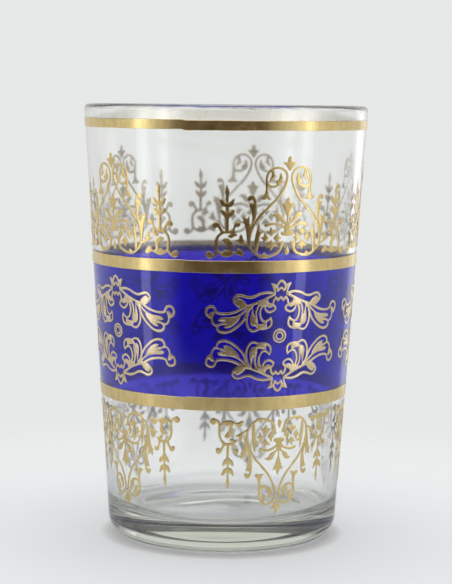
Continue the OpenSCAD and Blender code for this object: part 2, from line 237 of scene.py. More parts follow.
def clearWhere(tree, shader, factor, colour):
    # the surface gives way to clear where factor is 1
    clear = addNode(tree, "BsdfTransparent", {"Color": colour})
    mix = addNode(tree, "MixShader", (factor, shader.outputs["BSDF"], clear.outputs["BSDF"]))
    tree.links.new(mix.outputs["Shader"], tree.nodes["Material Output"].inputs["Surface"])


def makeFinish(name, look):
    mat, tree, shader = newMaterial(name)
    for label, value in look["shader"].items():
        shader.inputs[label].default_value = value
    tint = addNode(tree, "Group", look["tint"], node_tree=mottle)
    face = addNode(tree, "Group", look["face"], node_tree=handled)
    bump = addNode(tree, "Bump", {"Strength": look["bump"], "Distance": look["depth"] * metre,
                                  "Height": face.outputs["Height"]})
    gloss = face.outputs["Roughness"]
    if "haze" in look:
        haze = addNode(tree, "Group", look["haze"], node_tree=handled)
        gloss = addNode(tree, "Mix", {"Factor": insideMask(tree), "A": gloss,
                                      "B": haze.outputs["Roughness"]}).outputs["Result"]
    tree.links.new(tint.outputs["Colour"], shader.inputs["Base Color"])
    tree.links.new(gloss, shader.inputs["Roughness"])
    tree.links.new(bump.outputs["Normal"], shader.inputs["Normal"])
    if "lets" in look:
        # lamps shine straight through, so the floor keeps a pale shadow
        clearWhere(tree, shader, addNode(tree, "LightPath").outputs["Is Shadow Ray"], look["lets"])
    if "volume" in look:
        volume = addNode(tree, "VolumeAbsorption", {"Color": look["volume"], "Density": look["density"]})
        tree.links.new(volume.outputs["Volume"], tree.nodes["Material Output"].inputs["Volume"])
    return mat


def goldLook(main, cloud):
    # mottled round the glass, with a fine ripple
    return {
        "shader": {"Metallic": 1.0, "IOR": 1.45},
        "tint": {"Main": main + (1,), "Cloud": cloud + (1,), "Cloud Scale": 700.0, "Grain Scale": 4200.0,
                 "Stretch": (1.0, 1.0, 0.4), "Amount": 0.8},
        "face": {"Smear Scale": 260.0, "Ripple Scale": 2600.0, "Glossy": 0.23, "Dull": 0.28},
        "bump": 0.25, "depth": 0.012,
    }


def undersideLook(metallic, main, cloud, glossy, dull):
    # the back of the gold, seen through the glass; some copies carry painted light in their colour
    return {
        "shader": {"Metallic": metallic, "IOR": 1.45},
        "tint": {"Main": main + (1,), "Cloud": cloud + (1,), "Cloud Scale": 500.0, "Grain Scale": 3000.0,
                 "Amount": 0.8},
        "face": {"Smear Scale": 200.0, "Ripple Scale": 1500.0, "Glossy": glossy, "Dull": dull},
        "bump": 0.2, "depth": 0.01,
    }


finishes = {
    "clearGlass": {
        "shader": {"IOR": 1.52, "Transmission Weight": 1.0, "Metallic": 0.0},
        "tint": {"Main": (1, 1, 1, 1), "Cloud": (0.975, 0.985, 0.98, 1), "Cloud Scale": 60.0,
                 "Grain Scale": 400.0, "Amount": 0.6},
        "face": {"Smear Scale": 70.0, "Ripple Scale": 120.0, "Glossy": 0.0, "Dull": 0.03},
        "haze": {"Smear Scale": 60.0, "Ripple Scale": 90.0, "Glossy": 0.06, "Dull": 0.11},
        "bump": 0.25, "depth": 0.02, "volume": (0.675, 0.70, 0.60, 1), "density": 21.5,
        "lets": (0.99, 0.992, 0.988, 1),
    },
    "blueEnamel": {
        "shader": {"IOR": 1.58, "Transmission Weight": 0.92, "Metallic": 0.0},
        "tint": {"Main": (0.07, 0.05, 0.69, 1), "Cloud": (0.043, 0.03, 0.57, 1), "Cloud Scale": 130.0,
                 "Grain Scale": 900.0, "Stretch": (1.0, 1.0, 0.55), "Amount": 0.7},
        "face": {"Smear Scale": 160.0, "Ripple Scale": 350.0, "Glossy": 0.02, "Dull": 0.08},
        "bump": 0.3, "depth": 0.01, "lets": (0.5, 0.48, 0.9, 1),
    },
    "firedGold": goldLook((0.775, 0.612, 0.294), (0.655, 0.496, 0.215)),
    "sprayGold": goldLook((0.755, 0.622, 0.42), (0.655, 0.52, 0.325)),  # paler, as it lies on the blue
    "sprayUnderside": undersideLook(0.3, (0.11, 0.095, 0.075), (0.07, 0.06, 0.045), 0.3, 0.4),
    "goldUnderside": undersideLook(0.8, (0.52, 0.46, 0.36), (0.42, 0.365, 0.27), 0.2, 0.3),
    # painted light: the back of the rim band is painted pale cream, standing in for the bright light it
    # mirrors from in front
    "rimUndersidePaintedLit": undersideLook(0.8, (0.97, 0.955, 0.89), (0.93, 0.90, 0.80), 0.25, 0.35),
    # painted light: the back of the pendants is painted pale, standing in for light that barely reaches it
    # inside the glass
    "paintedLitUnderside": undersideLook(0.0, (0.92, 0.875, 0.765), (0.82, 0.77, 0.65), 0.3, 0.5),
}
finish = {name: makeFinish(name, look) for name, look in finishes.items()}
print("finishes made:", ", ".join(finish))


# Glass

def waves(seed, count, low, high):
    # a fixed sum of slow waves round the glass and up it, about -1 to 1
    rng = np.random.default_rng(seed)
    turns = rng.integers(1, 7, count)
    lifts = rng.uniform(low, high, count)
    phases = rng.uniform(0, fullTurn, count)
    return lambda a, z: sum(
        np.sin(t * a + k * z + p) for t, k, p in zip(turns, lifts, phases)) / math.sqrt(count)


def glassSection():
    t, steps = tumbler, tumbler["steps"]
    deg = math.degrees(lean)
    rimR = t["wall"] / 2
    rimZ = t["height"] - rimR
    rimX = wallRadius(rimZ) - rimR / math.cos(lean)
    heelX = wallRadius(t["heel"]) - t["heel"] / math.cos(lean)
    cornerZ = t["wellFloor"] + t["wellCorner"]
    cornerX = wallRadius(cornerZ) - (t["wall"] + t["wellCorner"]) / math.cos(lean)
    kickEdge = heelX - t["standRing"]
    kickR = (kickEdge ** 2 + t["kick"] ** 2) / (2 * t["kick"])
    outside = [(r, t["kick"] - kickR + math.sqrt(kickR ** 2 - r ** 2))
               for r in np.linspace(t["hub"], kickEdge, steps["hollow"])]
    outside += [(x, 0.0) for x in np.linspace(kickEdge, heelX, steps["ring"])[1:-1]]
    heel = arc(heelX, t["heel"], t["heel"], -90, -deg, steps["heel"])
    rim = arc(rimX, rimZ, rimR, -deg, 180 - deg, steps["rim"])
    corner = arc(cornerX, cornerZ, t["wellCorner"], -deg, -90, steps["corner"])
    up = np.linspace(heel[-1], rim[0], steps["wall"])[1:-1]
    down = np.linspace(rim[-1], corner[0], steps["wall"])[1:-1]
    half = steps["rim"] // 2
    outside += heel + [tuple(p) for p in up] + rim[:half]
    inside = rim[half:] + [tuple(p) for p in down] + corner
    inside += [(r, t["wellFloor"]) for r in np.linspace(cornerX, t["hub"], steps["floor"])[1:]]
    return np.array(outside), np.array(inside)


def makeGlass():
    t = tumbler
    outside, inside = glassSection()
    section = np.concatenate([outside, inside])
    n, rows, split = t["around"], len(section), len(outside)
    angle = np.linspace(0, fullTurn, n, endpoint=False)
    a, r = np.meshgrid(angle, section[:, 0])
    z = np.meshgrid(angle, section[:, 1])[1]
    wave = {name: waves(*values) for name, values in t["waves"].items()}
    spread = {name: np.clip((r - start) / far, 0, 1) for name, (start, far) in t["evenMiddle"].items()}
    inner = (np.arange(rows) >= split)[:, None]
    # the pressed inside is a little uneven, most at the corner of the well
    nearFloor = np.clip(1 - (z - t["wellFloor"]) / t["cornerReach"], 0, 1) ** 2 * inner
    start, far = t["evenRim"]
    wellShare = np.clip((t["height"] - start - z) / far, 0, 1) * inner
    r2 = r + (t["wallWave"] * wave["wall"](a, z) * wellShare * spread["wall"]
              + t["cornerWave"] * wave["corner"](a, z) * nearFloor * spread["corner"] ** 3)
    z2 = z + t["floorWave"] * wave["floor"](a, r / t["floorSpread"]) * nearFloor * spread["floor"]
    verts = np.stack([r2 * np.sin(a), -r2 * np.cos(a), z2], -1).reshape(-1, 3)
    low, high = len(verts), len(verts) + 1
    verts = np.concatenate([verts, [[0, 0, t["kick"]], [0, 0, t["wellFloor"]]]])
    faces = []
    for i in range(rows - 1):
        for j in range(n):
            k = (j + 1) % n
            faces.append((i * n + j, i * n + k, (i + 1) * n + k, (i + 1) * n + j))
    for j in range(n):
        k = (j + 1) % n
        faces.append((low, k, j))
        faces.append((high, (rows - 1) * n + j, (rows - 1) * n + k))
    return addPiece("tumblerGlass", verts, faces, [finish["clearGlass"]])


seat(makeGlass(), "glass_body")
print("glass turned")


# Enamel and gold bands: rings with a hand-printed edge

coats = {
    "bite": 0.02,  # how far a coat reaches into the glass, for contact with no air
    "enamel": 0.08,
    "gold": 0.1,
    "around": 720,
    "sharp": 35.0,  # an edge over this many degrees stays crisp
    "seam": -16.0,  # degrees from the front, where the two ends of the print meet
    "seamFade": 0.9,  # and the step there dies away over this turn, in radians
    # turns and size of each wave along an edge
    "edgeWaves": ((3, 0.5), (5, 0.4), (11, 0.35), (23, 0.3), (47, 0.25), (90, 0.2), (171, 0.12)),
    "roundIn": 0.05,  # the soft shoulder of the gold, in from its edge and down
    "roundDown": 0.04,
    "stepInside": 0.03,  # half the length of the step behind the lap
}
# lap: the edge that lies on the enamel; lapFrom and lapTo: how far in the gold steps off it
bands = {
    "rimGoldLine": {"node": "rim_gold_band", "low": 84.66, "high": 86.55, "ragged": 0.035, "seed": 31,
                    "stepLow": 0.1, "stepHigh": 0.08, "lap": "", "lapFrom": 0.95, "lapTo": 0.75,
                    "under": "rimUndersidePaintedLit"},
    "upperGoldBand": {"node": "upper_gold_band", "low": 57.0, "high": 59.4, "ragged": 0.03, "seed": 35,
                      "stepLow": 0.0, "stepHigh": 0.04, "lap": "low", "lapFrom": 1.15, "lapTo": 1.35,
                      "under": "goldUnderside"},
    "lowerGoldBand": {"node": "lower_gold_band", "low": 29.7, "high": 32.33, "ragged": 0.04, "seed": 39,
                      "stepLow": 0.0, "stepHigh": -0.08, "lap": "high", "lapFrom": 0.95, "lapTo": 0.75,
                      "under": "goldUnderside"},
}
enamelBand = {"low": 31.65, "high": 58.2, "ragged": 0.03, "seeds": (71, 72), "rows": 14}


def ring(name, sections, materials, slots, even=()):
    # sections: one list of (z, lift) for each angle, all of one length; even faces shade like the wall
    n, m = len(sections), len(sections[0])
    angle = np.linspace(0, fullTurn, n, endpoint=False)
    flat = np.array(sections)
    verts = onWall(np.repeat(angle, m), flat[:, :, 0].ravel(), flat[:, :, 1].ravel())
    faces, index = [], []
    for j in range(n):
        k = (j + 1) % n
        for i in range(m):
            h = (i + 1) % m
            faces.append((j * m + i, k * m + i, k * m + h, j * m + h))
            index.append(slots[i])
    piece = addPiece(name, verts, faces, materials, index)
    sharp = piece.data.attributes.new("sharp_face", "BOOLEAN", "FACE")
    sharp.data.foreach_set("value", np.zeros(len(faces), bool))
    piece.data.set_sharp_from_angle(angle=math.radians(coats["sharp"]))
    if even:
        out = [tuple(v) for v in wallNormal(angle)]
        normals = []
        for j in range(n):
            near, far = out[j], out[(j + 1) % n]
            for i in range(m):
                normals += [near, far, far, near] if i in even else [(0, 0, 0)] * 4
        piece.data.normals_split_custom_set(normals)
    return piece


def edgeLine(seed, base, ragged, step):
    rng = np.random.default_rng(seed)
    angle = np.linspace(0, fullTurn, coats["around"], endpoint=False)
    line = np.zeros_like(angle)
    for turns, size in coats["edgeWaves"]:
        line += size * np.sin(turns * angle + rng.uniform(0, fullTurn))
    seam, fade = math.radians(coats["seam"]) % fullTurn, coats["seamFade"]
    past = (angle - seam) % fullTurn
    step = step * (np.exp(-past / fade) - np.exp(-(fullTurn - past) / fade))
    return base + ragged * line + step


def makeBand(name, b):
    c = coats
    low = edgeLine(b["seed"], b["low"], b["ragged"], -b["stepLow"])
    high = edgeLine(b["seed"] + 1, b["high"], b["ragged"], -b["stepHigh"])
    lapped = [b["lap"] == edge for edge in ("low", "high")]
    lift0, lift1 = (c["gold"] + c["enamel"] * on for on in lapped)
    # under the lap the gold lies on the enamel, which shows from inside
    in0, in1 = (c["enamel"] / 2 if on else -c["bite"] for on in lapped)
    sections = []
    for z0, z1 in zip(low, high):
        if b["lap"] == "low":
            step0, step1 = z0 + b["lapFrom"], z0 + b["lapTo"]
        else:
            step0, step1 = z1 - b["lapFrom"], z1 - b["lapTo"]
        middle = (step0 + step1) / 2
        sections.append([
            (z0, in0), (z0, lift0 - c["roundDown"]), (z0 + c["roundIn"], lift0), (step0, lift0),
            (step1, lift1), (z1 - c["roundIn"], lift1), (z1, lift1 - c["roundDown"]), (z1, in1),
            (middle + c["stepInside"], in1), (middle - c["stepInside"], in0)])
    slots = [0] * 7 + [1] * 3  # seven faces of the section show outside, three from inside
    return ring(name, sections, [finish["firedGold"], finish[b["under"]]], slots, (2, 3, 4))


def makeEnamel():
    e = enamelBand
    low, high = (edgeLine(seed, e[edge], e["ragged"], 0) for seed, edge in zip(e["seeds"], ("low", "high")))
    under, over = -coats["bite"] / 2, coats["enamel"]
    shares = np.linspace(0, 1, e["rows"])
    sections = [[(z0, under)] + [(z0 + (z1 - z0) * s, over) for s in shares] + [(z1, under)]
                for z0, z1 in zip(low, high)]
    return ring("blueEnamelBand", sections, [finish["blueEnamel"]], [0] * (e["rows"] + 2))


seat(makeEnamel(), "blue_band")
for name, b in bands.items():
    seat(makeBand(name, b), b["node"])
print("enamel and gold bands laid")


# Gold ornament: drawn flat as shares of its height, then laid on the wall

scroll = {
    "height": 20.0,
    "reach": 0.757,  # half the width, as a share of the height
    "line": 0.46,
    "lines": {
        "stem": (1.1, 0.95, [
            (.055, .15), (.06, .12), (.073, .088), (.098, .06), (.135, .042), (.175, .031), (.215, .027),
            (.25, .034), (.282, .052), (.312, .076), (.338, .105), (.354, .14), (.359, .185), (.352, .24),
            (.34, .29), (.318, .345), (.288, .397), (.25, .446), (.205, .492), (.165, .537), (.13, .572),
            (.103, .605), (.079, .642), (.058, .678), (.041, .713), (.029, .75), (.023, .788), (.027, .825),
            (.043, .855), (.07, .878), (.105, .892), (.14, .889), (.172, .874), (.198, .846), (.213, .81),
            (.216, .76)]),
        "volute": (1.2, 1.0, [
            (.208, .735), (.19, .716), (.165, .707), (.14, .708), (.12, .715), (.1, .729)]),
        "arm": (0.9, 1.3, [
            (.012, .285), (.034, .307), (.065, .326), (.1, .338), (.14, .343), (.175, .338), (.203, .329)]),
        "spire": (0.85, 1.25, [(.56, .62), (.562, .45), (.563, .27)]),
        "sideScroll": (1.15, 1.1, [
            (.52, .275), (.55, .271), (.585, .27), (.615, .255), (.638, .23), (.65, .2), (.654, .165),
            (.652, .125), (.65, .09), (.658, .056), (.676, .036), (.7, .03)]),
        "twig": (0.9, 0.8, [(.448, .178), (.42, .162), (.388, .15), (.352, .128)]),
    },
    "leaves": {
        "finial": [(-.01, 1.001), (.004, 1.0), (.016, .988), (.021, .965), (.021, .951), (.035, .943),
                   (.052, .944), (.068, .936), (.056, .926), (.042, .913), (.031, .897), (.02, .878),
                   (.008, .86), (-.01, .848)],
        "voluteEnd": [(.033, .172), (.056, .177), (.078, .168), (.082, .15), (.08, .126), (.074, .104),
                      (.056, .1), (.046, .125), (.035, .15)],
        "loopBall": [(.195, .046), (.203, .062), (.217, .068), (.232, .06), (.239, .045), (.23, .03),
                     (.213, .024), (.2, .032)],
        "bud": [
            (.086, .842), (.071, .815), (.064, .785), (.064, .76), (.072, .738), (.09, .723), (.108, .721),
            (.123, .735), (.131, .756), (.12, .77), (.105, .779), (.098, .796), (.094, .82)],
        "innerLeaf": [(.155, .886), (.147, .86), (.143, .835), (.135, .815), (.124, .803), (.14, .796),
                      (.153, .789), (.164, .772), (.191, .764), (.184, .788), (.172, .811), (.169, .84),
                      (.178, .857), (.2, .848), (.19, .87)],
        "trumpet": [(.2, .77), (.199, .71), (.197, .66), (.192, .63), (.183, .608), (.167, .59),
                    (.176, .58), (.196, .583), (.211, .593), (.223, .583), (.242, .58), (.264, .594),
                    (.262, .607), (.245, .618), (.232, .638), (.225, .665), (.222, .71), (.226, .77)],
        "curledLeaf": [
            (.352, .33), (.341, .38), (.339, .42), (.345, .46), (.353, .495), (.363, .522), (.369, .545),
            (.357, .55), (.34, .55), (.326, .557), (.332, .573), (.34, .585), (.35, .577), (.362, .569),
            (.377, .575), (.384, .59), (.376, .608), (.36, .621), (.34, .622), (.322, .61), (.31, .585),
            (.303, .55), (.3, .5), (.302, .45), (.308, .402), (.325, .36), (.336, .32)],
        "forkedLeaf": [(.365, .14), (.374, .18), (.381, .22), (.388, .27), (.397, .32), (.41, .352),
                       (.43, .374), (.416, .387), (.422, .405), (.419, .43), (.403, .418), (.386, .402),
                       (.376, .416), (.362, .434), (.364, .405), (.362, .375), (.352, .335), (.33, .33),
                       (.34, .28), (.347, .23), (.351, .18), (.346, .14)],
        "spike": [
            (.29, .065), (.307, .1), (.31, .15), (.306, .2), (.299, .25), (.29, .3), (.282, .33),
            (.272, .352), (.266, .325), (.268, .295), (.26, .274), (.246, .272), (.233, .28), (.219, .268),
            (.235, .258), (.25, .246), (.26, .225), (.266, .19), (.272, .15), (.276, .11), (.28, .08)],
        "petalUp": [(.154, .22), (.17, .24), (.185, .258), (.203, .273), (.194, .281), (.18, .268),
                    (.172, .275), (.169, .292), (.163, .309), (.154, .311), (.148, .298), (.143, .284),
                    (.13, .287), (.113, .291), (.105, .282), (.12, .264), (.137, .243)],
        "petalIn": [(.13, .205), (.116, .224), (.103, .243), (.091, .263), (.083, .246), (.082, .226),
                    (.074, .217), (.056, .213), (.06, .203), (.075, .197), (.08, .185), (.08, .168),
                    (.09, .159), (.102, .17), (.116, .187)],
        "petalOut": [(.178, .205), (.19, .224), (.203, .243), (.215, .263), (.222, .246), (.227, .226),
                     (.236, .217), (.253, .213), (.25, .203), (.236, .197), (.229, .185), (.228, .168),
                     (.218, .157), (.208, .17), (.195, .185)],
        "petalDown": [(.154, .188), (.137, .17), (.118, .152), (.099, .132), (.108, .123), (.125, .126),
                      (.136, .114), (.145, .1), (.154, .086), (.164, .1), (.172, .114), (.184, .12),
                      (.2, .12), (.209, .13), (.19, .152), (.172, .17)],
        "upperLeaf": [(.008, .335), (.02, .362), (.038, .374), (.05, .4), (.062, .422), (.08, .439),
                      (.102, .448), (.127, .447), (.146, .438), (.16, .429), (.14, .422), (.12, .414),
                      (.108, .4), (.1, .384), (.087, .372), (.068, .364), (.048, .355), (.03, .343)],
        "tulip": [
            (-.01, .606), (.003, .603), (.012, .585), (.02, .566), (.028, .553), (.038, .546), (.06, .556),
            (.059, .54), (.049, .522), (.04, .503), (.033, .48), (.025, .457), (.017, .435), (.009, .41),
            (.006, .385), (.01, .36), (.026, .345), (.03, .315), (.031, .288), (.036, .268), (.056, .264),
            (.063, .25), (.055, .234), (.032, .227), (-.01, .226)],
        "drop": [(-.01, .139), (.002, .136), (.009, .117), (.018, .096), (.022, .075), (.018, .055),
                 (.006, .044), (-.01, .042)],
        "spear": [
            (.562, .738), (.571, .705), (.576, .675), (.579, .655), (.575, .635), (.57, .61), (.567, .585),
            (.552, .585), (.551, .61), (.546, .635), (.54, .655), (.545, .68), (.553, .7)],
        "highLeaves": [
            (.496, .596), (.51, .59), (.528, .573), (.545, .557), (.562, .553), (.578, .557), (.592, .57),
            (.605, .582), (.62, .589), (.632, .582), (.625, .562), (.62, .545), (.61, .527), (.592, .515),
            (.572, .51), (.552, .51), (.532, .514), (.516, .526), (.505, .548), (.498, .572)],
        "lowLeaves": [
            (.501, .49), (.515, .489), (.53, .478), (.545, .467), (.562, .463), (.578, .467), (.59, .476),
            (.603, .487), (.617, .49), (.621, .476), (.615, .456), (.604, .438), (.588, .42), (.576, .405),
            (.55, .405), (.535, .42), (.517, .434), (.506, .452), (.5, .472)],
        "innerArm": [(.535, .285), (.518, .295), (.508, .315), (.504, .34), (.497, .36), (.48, .372),
                     (.46, .37), (.447, .355), (.447, .338), (.46, .323), (.478, .322), (.488, .318),
                     (.494, .3), (.495, .28), (.5, .265), (.53, .262)],
        "outerArm": [(.585, .28), (.6, .292), (.612, .312), (.622, .335), (.632, .355), (.65, .368),
                     (.67, .366), (.686, .352), (.691, .335), (.684, .317), (.668, .307), (.652, .317),
                     (.641, .318), (.633, .3), (.622, .28), (.61, .262), (.59, .258)],
        "ball": [(.75, .045), (.741, .067), (.72, .079), (.698, .072), (.684, .053), (.682, .032),
                 (.695, .014), (.715, .007), (.737, .02)],
        "armLobe": [
            (.535, .275), (.527, .259), (.537, .248), (.55, .238), (.549, .222), (.533, .211), (.515, .214),
            (.498, .226), (.482, .233), (.466, .24), (.476, .25), (.488, .262), (.497, .28)],
        "sideBud": [(.609, .186), (.592, .204), (.57, .212), (.548, .205), (.53, .19), (.518, .168),
                    (.514, .14), (.518, .112), (.522, .08), (.55, .08), (.55, .112), (.556, .135),
                    (.568, .152), (.584, .163), (.59, .178)],
        "waveLeaf": [
            (.405, .041), (.402, .06), (.415, .082), (.432, .1), (.452, .109), (.468, .098), (.478, .08),
            (.495, .071), (.51, .078), (.519, .096), (.54, .092), (.556, .082), (.57, .096), (.585, .088),
            (.6, .071), (.62, .076), (.637, .092), (.65, .086), (.637, .06), (.616, .044), (.59, .033),
            (.56, .027), (.53, .032), (.505, .045), (.485, .056), (.465, .055), (.445, .045), (.425, .038)],
        "smallLeaf": [
            (.435, .254), (.447, .235), (.452, .21), (.461, .197), (.482, .196), (.486, .185), (.466, .178),
            (.45, .167), (.43, .162), (.41, .17), (.396, .185), (.408, .195), (.414, .21), (.421, .235)],
    },
}

spray = {
    "height": 24.55,
    "reach": 0.602,
    "line": 0.46,
    "ring": (1.42, 0.22, 0.55),  # outside radius, width of the split, radius of the hole
    "lines": {
        "crownArch": (.95, .95, [(.026, .366), (.038, .39), (.03, .418), (.014, .438), (-.006, .445)]),
        "crownBase": (.9, .9, [(.032, .37), (.014, .379), (-.006, .39)]),
        "zigzag": (.9, .9, [(-.006, .313), (.01, .304), (.024, .288), (.034, .302), (.044, .31),
                            (.058, .294), (.066, .272), (.07, .248)]),
        "topLeaf": (1, 1, [
            (.056, .338), (.092, .35), (.132, .352), (.18, .342), (.22, .324), (.256, .316), (.292, .324),
            (.328, .334), (.358, .328), (.378, .302), (.368, .274), (.344, .254), (.32, .24)]),
        "underLeaf": (.95, .9, [
            (.056, .336), (.096, .318), (.14, .296), (.188, .276), (.232, .26), (.276, .248)]),
        "thumb": (.9, .9, [(.066, .252), (.046, .23), (.048, .214), (.068, .2), (.092, .194), (.116, .204),
                           (.132, .224), (.138, .246)]),
        "hook": (.95, .7, [(.156, .25), (.17, .216), (.172, .18), (.162, .148), (.144, .124), (.122, .12),
                           (.1, .13), (.082, .146)]),
        "hookBack": (.7, .95, [(.082, .148), (.074, .124), (.074, .096), (.088, .074), (.112, .064),
                               (.144, .06), (.176, .066)]),
        "petalEdge": (.8, .8, [
            (.184, .256), (.2, .216), (.204, .18), (.198, .144), (.194, .116), (.198, .088)]),
        "petalLoop": (.9, .9, [(.252, .244), (.264, .208), (.274, .172), (.276, .136), (.272, .104),
                               (.258, .072), (.236, .05), (.212, .046), (.188, .054), (.168, .064)]),
        "longLeaf": (.95, .95, [
            (.276, .248), (.32, .226), (.36, .206), (.4, .192), (.448, .184), (.492, .186), (.514, .198),
            (.522, .22), (.538, .238), (.562, .24), (.584, .226), (.592, .2), (.584, .172), (.564, .154)]),
        "leafEnd": (.95, .7, [(.542, .178), (.548, .148), (.544, .118), (.528, .096), (.504, .088),
                              (.48, .098), (.456, .11)]),
        "leafBelly": (.95, .95, [
            (.502, .09), (.504, .07), (.492, .046), (.464, .034), (.436, .034), (.4, .046), (.364, .07),
            (.328, .102), (.3, .136), (.28, .176), (.268, .212), (.26, .24)]),
        "leafRib": (.75, .75, [(.268, .232), (.292, .208), (.32, .184), (.35, .164)]),
    },
    "leaves": {
        "crownWing": [(.03, .406), (.056, .42), (.09, .428), (.08, .404), (.068, .38), (.062, .356),
                      (.064, .336), (.048, .334), (.046, .36), (.052, .384), (.044, .396)],
        "topLobe": [(.268, .244), (.286, .276), (.312, .298), (.34, .31), (.36, .296), (.364, .278),
                    (.348, .26), (.324, .244), (.3, .236)],
        "hand": [
            (.11, .306), (.144, .294), (.19, .272), (.188, .256), (.168, .244), (.144, .244), (.124, .242),
            (.1, .23), (.076, .234), (.062, .248), (.074, .26), (.096, .268), (.11, .284)],
        "hookFill": [(.116, .124), (.134, .106), (.168, .098), (.196, .098), (.2, .08), (.176, .06),
                     (.14, .058), (.114, .068), (.112, .092)],
        "petalFill": [(.228, .236), (.238, .2), (.244, .168), (.248, .136), (.244, .108), (.224, .086),
                      (.204, .092), (.198, .12), (.204, .152), (.218, .172), (.224, .2)],
        "knot": [(.224, .25), (.256, .258), (.288, .248), (.28, .228), (.256, .216), (.236, .228)],
        "curlFill": [
            (.528, .19), (.542, .198), (.556, .19), (.572, .176), (.568, .156), (.55, .148), (.538, .164)],
        "palm": [(.324, .17), (.344, .174), (.376, .164), (.416, .156), (.452, .154), (.484, .148),
                 (.5, .13), (.48, .122), (.452, .124), (.436, .122), (.46, .11), (.488, .096), (.46, .094),
                 (.432, .1), (.452, .072), (.424, .07), (.392, .084), (.36, .11), (.336, .14)],
    },
}

drawings = {"scroll": scroll, "spray": spray}

ornament = {
    "grid": 0.05,  # millimetres between the points where the drawing is measured
    "margin": 0.6,  # bare room round the drawing
    "lineRoom": 1.2,  # how far round a line or a leaf it is measured
    "leafRoom": 0.9,
    "inkRun": 0.012,  # the gold runs this far past the drawn edge
    "unevenInk": 0.016,
    "inkNoise": (7, 1.2, 6.0),  # count of waves, the shortest and the longest
    "wobble": 0.05,
    "wobbleNoise": (4, 5, 14),
    "keep": 0.005,  # an edge point is dropped if the edge moves less than this
    "bedStep": 0.4,  # points inside a wide leaf
    "bedDepth": 0.17,  # and how far from its edge they start
    "crown": 0.03,  # a wide leaf swells by this much in its middle
    "crownDepth": 0.25,
    "edgeLean": 0.16,  # how much the shading leans outward at the edge
    "count": 5,
    "closingGap": 8.2,  # degrees left over at the back, where the print meets itself
    "level": -13.0,  # the rows were put on a little askew, lowest at this angle
    # halfTurn: half the width of a motif in degrees; under and over: the two faces of the gold, off the wall
    "rows": {
        "goldCrest": {"node": "gold_crest_", "drawn": "scroll", "angle": 26.1, "base": 59.62, "rise": 1,
                      "halfTurn": 34.05, "under": -0.02, "over": 0.09, "backRise": 1.0, "backTurn": 0.0,
                      "outer": "firedGold", "inner": "goldUnderside"},
        "goldSpray": {"node": "gold_spray_", "drawn": "spray", "angle": 24.4, "base": 44.5, "rise": 1,
                      "halfTurn": 32.3, "under": 0.05, "over": 0.15, "backRise": 0.4, "backTurn": 0.0,
                      "outer": "sprayGold", "inner": "sprayUnderside", "last": (1.2, -0.2)},
        "goldPendant": {"node": "gold_pendant_", "drawn": "scroll", "angle": 26.75, "base": 28.42, "rise": -1,
                        "halfTurn": 32.6, "under": -0.02, "over": 0.09, "backRise": 0.85, "backTurn": 1.8,
                        "outer": "firedGold", "inner": "paintedLitUnderside"},
    },
}


def throughPoints(points, closed, steps=7, tip=0.1):
    # a smooth curve through the given points; a sharp tip stays a tip
    p = np.array(points, float)
    n = len(p)
    before = np.roll(p, 1, 0) if closed else np.vstack([p[:1], p[:-1]])
    after = np.roll(p, -1, 0) if closed else np.vstack([p[1:], p[-1:]])
    tangent = (after - before) / 2
    a, b = p - before, after - p
    turn = (a * b).sum(1) / (np.linalg.norm(a, axis=1) * np.linalg.norm(b, axis=1) + tiny)
    tangent[turn < tip] = 0
    s = np.linspace(0, 1, steps, endpoint=False)[:, None]
    out = []
    for i in range(n if closed else n - 1):
        j = (i + 1) % n
        reach = np.linalg.norm(p[j] - p[i])
        t0, t1 = (t * min(1, reach / (np.linalg.norm(t) + tiny)) for t in (tangent[i], tangent[j]))
        out.append((2 * s ** 3 - 3 * s ** 2 + 1) * p[i] + (s ** 3 - 2 * s ** 2 + s) * t0
                   + (3 * s ** 2 - 2 * s ** 3) * p[j] + (s ** 3 - s ** 2) * t1)
    if not closed:
        out.append(p[-1:])
    return np.concatenate(out)


def nearest(x, y, a, b):
    # distance to each piece of a line, and how far along it
    d = b - a
    t = np.clip(((x[..., None] - a[:, 0]) * d[:, 0] + (y[..., None] - a[:, 1]) * d[:, 1])
                / ((d ** 2).sum(1) + tiny), 0, 1)
    return np.hypot(x[..., None] - a[:, 0] - t * d[:, 0], y[..., None] - a[:, 1] - t * d[:, 1]), t


def window(xs, ys, points, room):
    (x0, y0), (x1, y1) = points.min(0) - room, points.max(0) + room
    w = slice(*np.searchsorted(ys, [y0, y1])), slice(*np.searchsorted(xs, [x0, x1]))
    return w, *np.meshgrid(xs[w[1]], ys[w[0]])


def inkField(drawn, xs, ys):
    # distance from the edge of the ink, below zero inside it
    field = np.full((len(ys), len(xs)), 1.0)
    for start, end, points in drawn["lines"].values():
        c = throughPoints(points, False) * drawn["height"]
        wide = np.linspace(start, end, len(c)) * drawn["line"] / 2
        w, x, y = window(xs, ys, c, ornament["lineRoom"])
        d, t = nearest(x, y, c[:-1], c[1:])
        field[w] = np.minimum(field[w], (d - (wide[:-1] + t * (wide[1:] - wide[:-1]))).min(-1))
    for points in drawn["leaves"].values():
        c = throughPoints(points, True) * drawn["height"]
        after = np.roll(c, -1, 0)
        w, x, y = window(xs, ys, c, ornament["leafRoom"])
        d = nearest(x, y, c, after)[0].min(-1)
        crosses = (c[:, 1] > y[..., None]) != (after[:, 1] > y[..., None])
        across, rise = (after - c).T
        at = c[:, 0] + (y[..., None] - c[:, 1]) / np.where(rise == 0, tiny, rise) * across
        inside = (crosses & (x[..., None] < at)).sum(-1) % 2 == 1
        field[w] = np.minimum(field[w], np.where(inside, -d, d))
    if "ring" in drawn:
        outer, split, hole = drawn["ring"]
        x, y = np.meshgrid(xs, ys)
        off = np.abs(np.hypot(x, y) - (outer + hole) / 2)
        field = np.minimum(field, np.maximum(off - (outer - hole) / 2, split / 2 - off))
    return field


